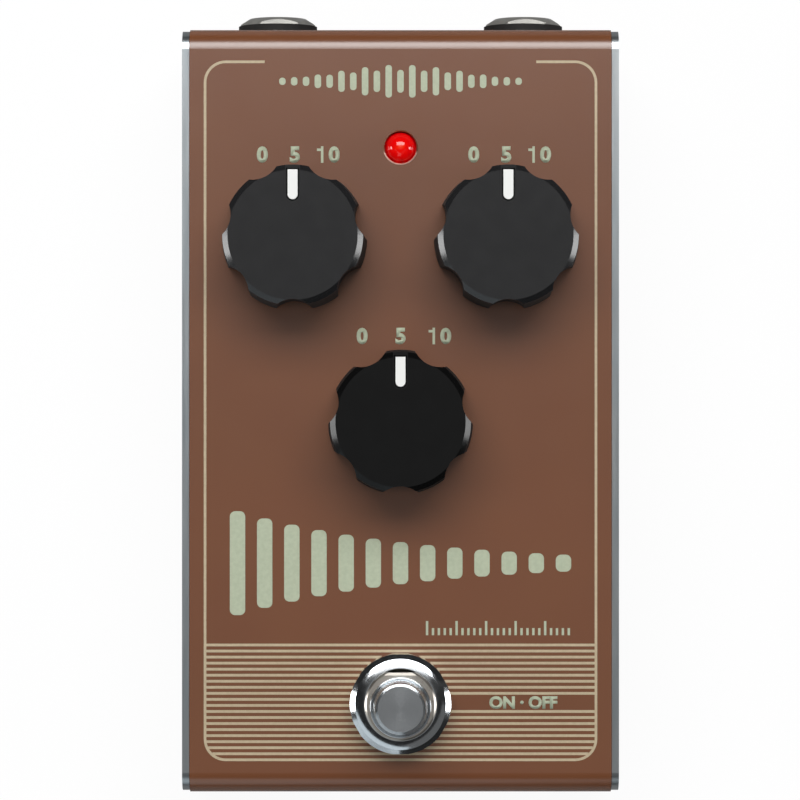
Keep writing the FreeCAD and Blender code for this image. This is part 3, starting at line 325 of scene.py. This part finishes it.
# glass laminate under green solder mask: two greens by turns, and the weave as a fine checked relief
solderMask = newMaterial("green_solder_mask", "155c2c", 0.3)
maskTree = solderMask.node_tree
varyColour(solderMask, clouds(maskTree, 2.2, (1, 0.25, 1), 1.0), "115025", "1c6b36")
weave = addNode(maskTree, "ShaderNodeTexChecker", {"Scale": 1 / 0.5}, {"Vector": millimetres(maskTree)})
addRelief(solderMask, (weave.outputs["Fac"], 0.004))
dress(solderMask, "main_board", "switch_board")

# vinyl, extruded over wires: a flat grey with faint clouds
greyVinyl = newMaterial("extruded_grey_vinyl", "8f9092", 0.5)
vinylTree = greyVinyl.node_tree
varyColour(greyVinyl, clouds(vinylTree, 1.5, detail=3.0), "88898b", "969799")
dress(greyVinyl, "ribbon_cable")

# vulcanised fibre, pressed black: dull, with a dusty edge
blackFibre = newMaterial("pressed_black_fibre", "0c0c0c", 0.75)
fibreTree = blackFibre.node_tree
varyColour(blackFibre, clouds(fibreTree, 0.8, detail=4.0), "090909", "12110f")
addRelief(blackFibre, (clouds(fibreTree, 0.25), 0.008))
dress(blackFibre, "jack_washers")

# glass-filled nylon, moulded black: satin with a fine mottle
blackNylon = newMaterial("moulded_black_nylon", "1a1a1b", 0.5)
nylonTree = blackNylon.node_tree
varyRoughness(blackNylon, clouds(nylonTree, 0.5, detail=4.0), 0.42, 0.58)
addRelief(blackNylon, (clouds(nylonTree, 0.2), 0.005))
dress(blackNylon, "input_jack_body", "output_jack_body", "dc_socket_body", "battery_snap", "battery_leads")

# epoxy, transfer moulded in a spark-eroded tool: matt black with a fine even grain
chipEpoxy = newMaterial("moulded_chip_epoxy", "1d1d1e", 0.55)
addRelief(chipEpoxy, (clouds(chipEpoxy.node_tree, 0.15), 0.006))
dress(chipEpoxy, "delay_chips", "support_chips", "voltage_regulator")

# vinyl sleeve, shrunk: dark blue, glossy with slow waves
sleeveVinyl = newMaterial("shrunk_vinyl_sleeve", "16223f", 0.3)
addRelief(sleeveVinyl, (clouds(sleeveVinyl.node_tree, 1.2), 0.02))
dress(sleeveVinyl, "electrolytic_capacitors")

# epoxy, dipped: red-brown, rounded and glossy, a little uneven
dippedEpoxy = newMaterial("dipped_red_epoxy", "8e2a1c", 0.25)
dipTree = dippedEpoxy.node_tree
varyColour(dippedEpoxy, clouds(dipTree, 1.5, detail=3.0), "822417", "9b3222")
addRelief(dippedEpoxy, (clouds(dipTree, 1.0), 0.02))
dress(dippedEpoxy, "film_capacitors")

# lacquer, dipped: pale blue
blueLacquer = newMaterial("dipped_blue_lacquer", "6ea7c4", 0.3)
lacquerTree = blueLacquer.node_tree
varyColour(blueLacquer, clouds(lacquerTree, 1.2, detail=3.0), "679fbd", "79b1cc")
addRelief(blueLacquer, (clouds(lacquerTree, 0.8), 0.01))
dress(blueLacquer, "resistors")

# moulded white plastic, matt, for the trimmers' screwdriver slots
rotorPlastic = newMaterial("moulded_rotor_plastic", "e8e8e4", 0.5)
varyRoughness(rotorPlastic, clouds(rotorPlastic.node_tree, 0.5, detail=3.0), 0.44, 0.56)
dress(rotorPlastic, "bias_trimmer_rotor", "clock_trimmer_rotor")

# steel jacket under dark lacquer: a soft metal gloss, a little scuffed
batteryJacket = newMaterial("lacquered_steel_jacket", "4a4c52", 0.35, Metallic=0.6)
jacketTree = batteryJacket.node_tree
varyColour(batteryJacket, clouds(jacketTree, 5.0, detail=4.0), "44464c", "52545a")
varyRoughness(batteryJacket, clouds(jacketTree, 0.7, (1, 0.2, 1), 4.0), 0.28, 0.44)
dress(batteryJacket, "battery")

# closed-cell foam, cut: black and grainy, its cut cells showing as small pits
padFoam = newMaterial("closed_cell_foam", "2b2b2c", 0.95)
foamTree = padFoam.node_tree
cells = addNode(foamTree, "ShaderNodeTexVoronoi", {"Scale": 1 / 0.6}, {"Vector": millimetres(foamTree)})
addRelief(padFoam, (cells.outputs["Distance"], 0.15))
dress(padFoam, "battery_pad")

# moulded plastic of the dials' housings: dark green, satin
housingPlastic = newMaterial("moulded_housing_plastic", "2a3a2a", 0.5)
housingTree = housingPlastic.node_tree
varyRoughness(housingPlastic, clouds(housingTree, 0.8, detail=3.0), 0.42, 0.56)
addRelief(housingPlastic, (clouds(housingTree, 0.25), 0.004))
dress(housingPlastic, "time_pot_body", "mix_pot_body", "repeats_pot_body")

print("materials done")


# Prints on the face, each a thin raised layer of ink

def inkMaterial(name, shade, thinner, thicker):
    # screen ink: matt, thicker and thinner by turns where the mesh of the screen let it through
    material = newMaterial(name, shade, 0.5)
    tree = material.node_tree
    varyColour(material, clouds(tree, 0.6, detail=3.0), thinner, thicker)
    varyRoughness(material, clouds(tree, 0.8, detail=3.0), 0.46, 0.54)
    addRelief(material, (clouds(tree, 0.4), 0.002))
    return material


creamInk = inkMaterial("cream_screen_ink", "b7a78a", "b3a386", "bbab8e")
sageInk = inkMaterial("sage_screen_ink", "acb49b", "a8b097", "b0b89f")

# the ink's layer, the frame line with its gap at the top, and the stripes, two of which stop short of the words
faceInk = {"sunk": 0.005, "proud": 0.02, "line": 0.45, "halfWidth": 33.1, "halfHeight": 59.1, "corner": 3.5,
           "gapHalf": 23.0, "stripes": 20, "pitch": 1.023, "shortStripes": (9, 10), "shortEnd": 8.4}
inkLow = (faceTop - faceInk["sunk"]) * mm
inkHigh = (faceTop + faceInk["proud"]) * mm


def addBar(bm, left, right, low, high, radius=0.0):
    # a flat bar of ink, given in millimetres, with rounded corners if a radius is given
    size = ((right - left) * mm, (high - low) * mm, inkHigh - inkLow)
    middle = ((left + right) / 2 * mm, (low + high) / 2 * mm, (inkLow + inkHigh) / 2)
    place = Matrix.Translation(middle) @ Matrix.Diagonal((*size, 1))
    made = bmesh.ops.create_cube(bm, size=1, matrix=place)
    if radius:
        corners = {edge for vertex in made["verts"] for edge in vertex.link_edges
                   if abs(edge.verts[0].co.z - edge.verts[1].co.z) > (inkHigh - inkLow) / 2}
        bmesh.ops.bevel(bm, geom=list(corners), offset=radius * mm, affect="EDGES", segments=6, profile=0.5,
                        material=-1)


def addCorner(bm, x, y, radius, start, turn):
    # a curved piece of line, from a start angle in degrees through a turn
    half = faceInk["line"] / 2
    profile = [bm.verts.new((x * mm + r * mm, y * mm, z)) for r, z in (
        (radius - half, inkLow), (radius + half, inkLow), (radius + half, inkHigh), (radius - half, inkHigh))]
    face = bm.faces.new(profile)
    centre = Vector((x * mm, y * mm, 0))
    bmesh.ops.rotate(bm, verts=profile, cent=centre, matrix=Matrix.Rotation(math.radians(start), 3, "Z"))
    bmesh.ops.spin(bm, geom=[face] + face.edges[:] + profile, cent=centre, axis=(0, 0, 1),
                   angle=math.radians(turn), steps=10)


def addPiece(name, bm, material, body):
    # a mesh made into a named piece of the scene that moves with a body
    bmesh.ops.recalc_face_normals(bm, faces=bm.faces[:])
    mesh = bpy.data.meshes.new(name)
    bm.to_mesh(mesh)
    bm.free()
    mesh.materials.append(material)
    piece = bpy.data.objects.new(name, mesh)
    bpy.context.scene.collection.objects.link(piece)
    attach(piece, body)
    return piece


def frameAndStripes():
    # the frame line, open in the middle at the top, and the stripes across its lower end
    bm = bmesh.new()
    half = faceInk["line"] / 2
    wide = faceInk["halfWidth"]
    top = faceMiddleY + faceInk["halfHeight"]
    bottom = faceMiddleY - faceInk["halfHeight"]
    corner = faceInk["corner"]
    for side in (-1, 1):
        addBar(bm, side * wide - half, side * wide + half, bottom + corner, top - corner)
        ends = sorted((side * faceInk["gapHalf"], side * (wide - corner)))
        addBar(bm, ends[0], ends[1], top - half, top + half)
    for x, y, start in ((-1, 1, 90), (1, 1, 0), (-1, -1, 180), (1, -1, 270)):
        centreY = (top if y > 0 else bottom) - y * corner
        addCorner(bm, x * (wide - corner), centreY, corner, start, 90)
    for step in range(faceInk["stripes"]):
        rise = step * faceInk["pitch"]
        y = bottom + rise
        # the lowest stripes end where the frame's corner curves in
        inward = corner - math.sqrt(corner ** 2 - max(0.0, corner - rise) ** 2)
        reach = wide - half - inward if step else wide - corner
        end = faceInk["shortEnd"] if step in faceInk["shortStripes"] else reach
        addBar(bm, -reach, end, y - half, y + half)
    addPiece("face_lines_print", bm, creamInk, "case")


frameAndStripes()


def textMesh(words, height, bold):
    # a word as a flat mesh about the origin, its letters height millimetres tall
    curve = bpy.data.curves.new("words", "FONT")
    curve.body = words
    curve.align_x = "CENTER"
    curve.offset = bold
    curve.resolution_u = 4
    holder = bpy.data.objects.new("words", curve)
    mesh = bpy.data.meshes.new_from_object(holder)
    bpy.data.objects.remove(holder)
    bpy.data.curves.remove(curve)
    across = [vertex.co.x for vertex in mesh.vertices]
    upward = [vertex.co.y for vertex in mesh.vertices]
    scale = height * mm / (max(upward) - min(upward))
    middle = Vector(((min(across) + max(across)) / 2, (min(upward) + max(upward)) / 2, 0))
    mesh.transform(Matrix.Diagonal((scale, scale, 1, 1)) @ Matrix.Translation(-middle))
    return mesh


def addWords(bm, words, x, y, height):
    # a word in ink about a place on the face, its strokes thickened a little
    flat = textMesh(words, height, bold=0.05)
    flat.transform(Matrix.Translation((x * mm, y * mm, inkLow)))
    before = len(bm.faces)
    bm.from_mesh(flat)
    bpy.data.meshes.remove(flat)
    bm.faces.ensure_lookup_table()
    lifted = bmesh.ops.extrude_face_region(bm, geom=bm.faces[before:])
    bmesh.ops.translate(bm, vec=(0, 0, inkHigh - inkLow),
                        verts=[item for item in lifted["geom"] if isinstance(item, bmesh.types.BMVert)])


def addTen(bm, x, y, height):
    # the number 10, its one drawn as a stem and a short flag; all sizes are shares of the height
    one = {"stroke": 0.15, "flag": 0.24, "flagLow": 0.285, "flagHigh": 0.135, "left": 0.42, "zero": 0.38}
    stem = x - one["left"] * height
    top = y + height / 2
    addBar(bm, stem, stem + one["stroke"] * height, y - height / 2, top)
    addBar(bm, stem - one["flag"] * height, stem, top - one["flagLow"] * height, top - one["flagHigh"] * height)
    addWords(bm, "0", x + one["zero"] * height, y, height)


def legends():
    # plain numbers at the dials, each row with its half width and its place along the face, and the switch's states
    legend = {"height": 2.8, "tenShift": 0.1, "states": "ON · OFF", "statesMiddle": 20.8, "statesHeight": 2.2,
              "rows": (("time", 5.5, 41.8), ("mix", 5.5, 41.8), ("repeats", 6.5, 11.07))}
    bm = bmesh.new()
    for dial, spread, y in legend["rows"]:
        x = dialPlaces[dial][0]
        addWords(bm, "0", x - spread, y, legend["height"])
        addWords(bm, "5", x, y, legend["height"])
        addTen(bm, x + spread + legend["tenShift"], y, legend["height"])
    addWords(bm, legend["states"], legend["statesMiddle"], switchPlace[1], legend["statesHeight"])
    addPiece("legend_print", bm, sageInk, "case")


legends()


def echoBars():
    # the large motif: upright bars that fade from left to right, like repeats of one note
    bm = bmesh.new()
    bars = {"count": 13, "left": -28.9, "pitch": 4.6, "width": 2.6, "middle": -27.4, "tall": 17.6, "fade": 0.86,
            "corner": 0.9}
    for step in range(bars["count"]):
        x = bars["left"] + step * bars["pitch"]
        half = bars["tall"] * bars["fade"] ** step / 2
        addBar(bm, x, x + bars["width"], bars["middle"] - half, bars["middle"] + half, bars["corner"])
    addPiece("echo_print", bm, sageInk, "case")


echoBars()


def waveRow():
    # the small motif at the top: a row of short bars in one swell, every second one lower
    bm = bmesh.new()
    row = {"count": 21, "pitch": 2.0, "width": 1.1, "middle": 54.2, "tall": 5.6, "short": 1.2, "lower": 0.6,
           "corner": 0.5}
    for step in range(row["count"]):
        away = step - (row["count"] - 1) / 2
        swell = math.cos(away / row["count"] * math.pi) ** 2
        share = 1.0 if step % 2 else row["lower"]
        half = (row["short"] + (row["tall"] - row["short"]) * swell * share) / 2
        left = away * row["pitch"] - row["width"] / 2
        addBar(bm, left, left + row["width"], row["middle"] - half, row["middle"] + half, row["corner"])
    addPiece("wave_print", bm, sageInk, "case")


waveRow()


def tickScale():
    # a small scale above the stripes, every fifth tick taller
    bm = bmesh.new()
    scale = {"count": 25, "pitch": 1.0, "left": 4.5, "low": -39.6, "short": 1.2, "tall": 2.4, "width": 0.4,
             "tallEvery": 5}
    for step in range(scale["count"]):
        x = scale["left"] + step * scale["pitch"]
        high = scale["low"] + (scale["short"] if step % scale["tallEvery"] else scale["tall"])
        addBar(bm, x - scale["width"] / 2, x + scale["width"] / 2, scale["low"], high)
    addPiece("tick_print", bm, sageInk, "case")


tickScale()
print("prints done")


def lightRim():
    # the paint gathers in a small soft ring round the status light's hole; its front half is painted paler, a
    # painted highlight where the rear light falls on it
    ring = {"inner": 2.73, "outer": 2.99, "proud": 0.06, "sunk": 0.02, "steps": 7, "paleFrom": -1.6}
    edgePaint = newMaterial("paint_on_rolled_edge", "8c5e48", 0.3, Specular_IOR_Level=0.95)
    tree = edgePaint.node_tree
    parts = addNode(tree, "ShaderNodeSeparateXYZ", {}, {0: millimetres(tree, middle=(*ledPlace, 0))})
    # painted highlight: the ring's colour turns paler towards its front half
    front = addNode(tree, "ShaderNodeMapRange", {"From Min": 0.0, "From Max": ring["paleFrom"]},
                    {"Value": parts.outputs["Y"]})
    varyColour(edgePaint, front.outputs["Result"], "6e4125", "c79c8c")
    bm = bmesh.new()
    last = ring["steps"] - 1
    middle = (ring["inner"] + ring["outer"]) / 2
    half = (ring["outer"] - ring["inner"]) / 2
    points = []
    for step in range(ring["steps"]):
        turn = math.pi * step / last
        x = ledPlace[0] + middle - half * math.cos(turn)
        z = faceTop + ring["proud"] * math.sin(turn) - (ring["sunk"] if step in (0, last) else 0.0)
        points.append(bm.verts.new((x * mm, ledPlace[1] * mm, z * mm)))
    face = bm.faces.new(points)
    bmesh.ops.spin(bm, geom=[face] + face.edges[:] + points, cent=(ledPlace[0] * mm, ledPlace[1] * mm, 0),
                   axis=(0, 0, 1), angle=math.tau, steps=64, use_merge=True)
    bmesh.ops.remove_doubles(bm, verts=bm.verts[:], dist=weldDistance)
    piece = addPiece("light_rim", bm, edgePaint, "case")
    piece.data.shade_smooth()


lightRim()


def addTubeSection(bm, radius, height, tube, segments):
    # an upright circle beside the switch's axis, in metres, to be spun round it; the axis is returned
    centre = Vector((switchPlace[0] * mm, switchPlace[1] * mm, 0))
    place = Matrix.Translation(centre + Vector((radius, 0, height)))
    bmesh.ops.create_circle(bm, segments=segments, radius=tube, matrix=place @ Matrix.Rotation(math.pi / 2, 4, "X"))
    return centre


def capLip():
    # the rolled lower edge of the footswitch's cap, a bright line round it
    lip = {"radius": 4.93, "tube": 0.2, "level": 46.3}
    bm = bmesh.new()
    centre = addTubeSection(bm, lip["radius"] * mm, lip["level"] * mm, lip["tube"] * mm, 16)
    bmesh.ops.spin(bm, geom=bm.verts[:] + bm.edges[:], cent=centre, axis=(0, 0, 1), angle=math.tau, steps=96,
                   use_merge=True)
    bmesh.ops.remove_doubles(bm, verts=bm.verts[:], dist=weldDistance)
    lipChrome = newMaterial("chrome_plate_on_rolled_lip", "d6dadd", 0.1, Metallic=1.0)
    varyRoughness(lipChrome, clouds(lipChrome.node_tree, 0.6), 0.08, 0.13)
    piece = addPiece("cap_lip", bm, lipChrome, "footswitch_button")
    piece.data.shade_smooth()


capLip()


def returnSpring():
    # the footswitch's spring, drawn again as a coil of wire in the part's place
    spring = {"radius": 4.2, "wire": 0.4, "turns": 5, "steps": 240, "travel": 2.8}
    low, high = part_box("footswitch_spring")
    whole = high[2] - low[2]
    rise = whole - 2 * spring["wire"] * mm
    bm = bmesh.new()
    centre = addTubeSection(bm, spring["radius"] * mm, low[2] + spring["wire"] * mm, spring["wire"] * mm, 10)
    bmesh.ops.spin(bm, geom=bm.verts[:] + bm.edges[:], cent=centre, axis=(0, 0, 1),
                   dvec=(0, 0, rise / spring["steps"]), angle=math.tau * spring["turns"], steps=spring["steps"],
                   use_merge=False)
    bmesh.ops.holes_fill(bm, edges=[edge for edge in bm.edges if edge.is_boundary])
    piece = addPiece("return_spring", bm, springWire, "case")
    piece.data.shade_smooth()
    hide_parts("footswitch_spring")
    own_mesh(piece)


returnSpring()
print("trim done")


# Floor, lights and camera

def backgroundRays(tree):
    # one for the rays that show the white background: straight from the camera, in gloss and through glass
    rays = addNode(tree, "ShaderNodeLightPath")
    either = addNode(tree, "ShaderNodeMath", {"operation": "MAXIMUM"},
                     {0: rays.outputs["Is Glossy Ray"], 1: rays.outputs["Is Transmission Ray"]})
    return rays.outputs["Is Camera Ray"], either.outputs["Value"]


# the background's brightness straight on and in gloss, the share of the floor that takes real light and shadow,
# and the floor's half size in metres
backdrop = {"straight": 1.0, "mirrored": 0.3, "lit": 0.07, "reach": 3}


def addStage():
    # a white floor that keeps the object's shadow
    bm = bmesh.new()
    bmesh.ops.create_grid(bm, x_segments=1, y_segments=1, size=backdrop["reach"])
    mesh = bpy.data.meshes.new("floor")
    bm.to_mesh(mesh)
    bm.free()
    floor = bpy.data.objects.new("floor", mesh)
    bpy.context.scene.collection.objects.link(floor)
    material = bpy.data.materials.new("pale_floor")
    material.use_nodes = True
    tree = material.node_tree
    tree.nodes.clear()
    straight, mirrored = backgroundRays(tree)
    pale = addNode(tree, "ShaderNodeBsdfDiffuse", {"Color": linearColour("f8f8f8")})
    white = addNode(tree, "ShaderNodeEmission", {"Strength": backdrop["straight"]})
    grey = addNode(tree, "ShaderNodeEmission", {"Strength": backdrop["mirrored"]})
    shown = addNode(tree, "ShaderNodeMath", {"operation": "MULTIPLY", 1: 1 - backdrop["lit"]}, {0: straight})
    bright = addNode(tree, "ShaderNodeMixShader", {}, {0: shown.outputs["Value"], 1: pale.outputs[0],
                                                      2: white.outputs[0]})
    mixed = addNode(tree, "ShaderNodeMixShader", {}, {0: mirrored, 1: bright.outputs[0], 2: grey.outputs[0]})
    output = addNode(tree, "ShaderNodeOutputMaterial")
    tree.links.new(mixed.outputs[0], output.inputs["Surface"])
    mesh.materials.append(material)


addStage()


def addWorld():
    # a dim room with a grey ceiling patch overhead; straight rays see white, and gloss the floor's grey below it
    levels = {"ceiling": 0.3, "walls": 0.02, "edgeLow": 0.93, "edgeHigh": 0.985}
    world = bpy.data.worlds.new("studio")
    bpy.context.scene.world = world
    world.use_nodes = True
    tree = world.node_tree
    tree.nodes.clear()
    direction = addNode(tree, "ShaderNodeTexCoord")
    height = addNode(tree, "ShaderNodeSeparateXYZ", {}, {0: direction.outputs["Generated"]})
    room = addNode(tree, "ShaderNodeMapRange", {
        "interpolation_type": "SMOOTHSTEP", "From Min": levels["edgeLow"], "From Max": levels["edgeHigh"],
        "To Min": levels["walls"], "To Max": levels["ceiling"]}, {"Value": height.outputs["Z"]})
    plain = (1, 1, 1, 1)
    studio = addNode(tree, "ShaderNodeBackground", {"Color": plain}, {"Strength": room.outputs["Result"]})
    white = addNode(tree, "ShaderNodeBackground", {"Color": plain, "Strength": backdrop["straight"]})
    grey = addNode(tree, "ShaderNodeBackground", {"Color": plain, "Strength": backdrop["mirrored"]})
    low = addNode(tree, "ShaderNodeMath", {"operation": "LESS_THAN", 1: 0.0}, {0: height.outputs["Z"]})
    straight, mirrored = backgroundRays(tree)
    lowMirrored = addNode(tree, "ShaderNodeMath", {"operation": "MULTIPLY"}, {0: mirrored, 1: low.outputs["Value"]})
    dim = addNode(tree, "ShaderNodeMixShader", {}, {0: lowMirrored.outputs["Value"], 1: studio.outputs[0],
                                                   2: grey.outputs[0]})
    mixed = addNode(tree, "ShaderNodeMixShader", {}, {0: straight, 1: dim.outputs[0], 2: white.outputs[0]})
    output = addNode(tree, "ShaderNodeOutputWorld")
    tree.links.new(mixed.outputs[0], output.inputs["Surface"])


addWorld()


def addSoftbox(name, azimuth, elevation, width, height, level, tint=(1, 1, 1)):
    # azimuth is clockwise from the rear as seen from above, both angles in degrees, the size in metres;
    # level is the brightness of its face, where the energy of a flat lamp is its level times pi times its area
    distance = 1.2
    turn = math.radians(azimuth)
    rise = math.radians(elevation)
    light = bpy.data.lights.new(name, "AREA")
    light.shape = "RECTANGLE"
    light.size = width
    light.size_y = height
    light.color = tint
    light.energy = level * math.pi * width * height
    holder = bpy.data.objects.new(name, light)
    direction = Vector((math.sin(turn) * math.cos(rise), math.cos(turn) * math.cos(rise), math.sin(rise)))
    holder.location = Vector((0, faceMiddleY * mm, faceTop * mm)) + direction * distance
    holder.rotation_euler = direction.to_track_quat("Z", "Y").to_euler()
    bpy.context.scene.collection.objects.link(holder)


# broad boxes at the rear, low ones at both sides for the knobs' flutes, and dim cards in front for the chrome
addSoftbox("rear_softbox", 0, 57, 1.33, 0.54, 7.0)
addSoftbox("rear_spill", 0, 73, 0.8, 0.2, 1.2)
addSoftbox("left_softbox", 266.5, 14, 0.44, 0.295, 8.6)
addSoftbox("right_softbox", 93.5, 14, 0.44, 0.295, 8.6)
addSoftbox("front_card", 213, 32, 1.5, 0.85, 0.8, (0.86, 0.95, 1.0))
addSoftbox("right_card", 137, 45, 1.1, 0.6, 0.12)


def addCamera():
    # straight above the face, as near as the photo's parallax says, and framed by a small shift
    view = {"distance": 0.640, "pixelsPerMetre": 5905, "frame": 800, "sensor": 36.0,
            "middleX": 400.5, "middleY": 410.8}
    camera = bpy.data.cameras.new("camera")
    camera.sensor_width = view["sensor"]
    camera.lens = view["distance"] * view["pixelsPerMetre"] / view["frame"] * view["sensor"]
    camera.shift_x = (view["frame"] / 2 - view["middleX"]) / view["frame"]
    camera.shift_y = (view["middleY"] - view["frame"] / 2) / view["frame"]
    holder = bpy.data.objects.new("camera", camera)
    holder.location = (0, faceMiddleY * mm, faceTop * mm + view["distance"])
    bpy.context.scene.collection.objects.link(holder)
    bpy.context.scene.camera = holder


addCamera()
print("stage done")
bpy.context.scene.view_settings.view_transform = "Standard"

print("scene done")
